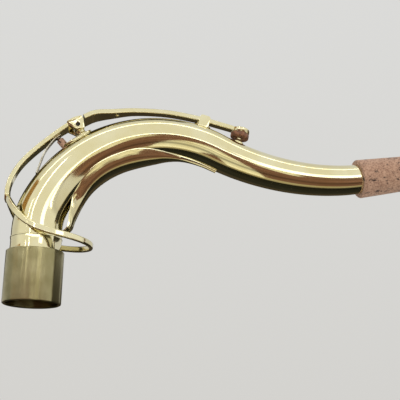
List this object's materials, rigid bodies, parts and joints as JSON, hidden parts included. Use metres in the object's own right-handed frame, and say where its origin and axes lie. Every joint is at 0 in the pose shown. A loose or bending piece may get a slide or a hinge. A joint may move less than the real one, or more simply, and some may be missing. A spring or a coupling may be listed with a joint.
{
  "type": "saxophone neck",
  "caption": "Curved lacquered-brass neck of a tenor saxophone with corked mouthpiece end, bare tenon, under-brace and a hinged octave key with ring, arms, spring and padded cup.",
  "frame": {"origin": "on the tenon's axis at the shoulder where the collar stands on the tenon sleeve", "axes": "-Z runs down the tenon, the way the instrument's body leaves; +X runs forward to the mouthpiece end; the neck is mirror-symmetric about Y = 0, apart from the pivot screw's head on the +Y side"},
  "size_m": [0.2332, 0.0334, 0.1034],
  "materials": {
    "lacquered_brass": "polished, clear lacquered",
    "raw_brass": "unlacquered, dulled satin",
    "cork": "sanded sheet cork",
    "pad_leather": "thin pad skin",
    "spring_steel": "flat spring strip",
    "screw_steel": "turned steel"
  },
  "bodies": {
    "neck": {"tenon_sleeve": "raw_brass", "tenon_collar": "lacquered_brass", "neck_tube": "lacquered_brass", "neck_cork": "cork", "underbrace": "lacquered_brass", "hinge_saddle": "lacquered_brass", "hinge_pillar": "lacquered_brass", "octave_pip": "lacquered_brass", "octave_guide": "lacquered_brass", "bumper_cork": "cork"},
    "octave_key": {"hinge_fork": "lacquered_brass", "hinge_screw": "screw_steel", "long_arm": "lacquered_brass", "arm_rivet": "lacquered_brass", "pad_cup": "lacquered_brass", "octave_pad": "pad_leather", "ring_arm": "lacquered_brass", "key_ring": "lacquered_brass", "flat_spring": "spring_steel", "spring_screw": "screw_steel"}
  },
  "joints": [
    {"name": "octave_key_hinge", "type": "hinge", "parent": "neck", "child": "octave_key", "pos_m": [0.01643, 0, 0.06555], "axis": [0, -1, 0], "range_deg": [0, 3], "stiffness_Nm_per_rad": 0.35, "springref_deg": -6.88, "deforming": ["flat_spring"]}
  ]
}
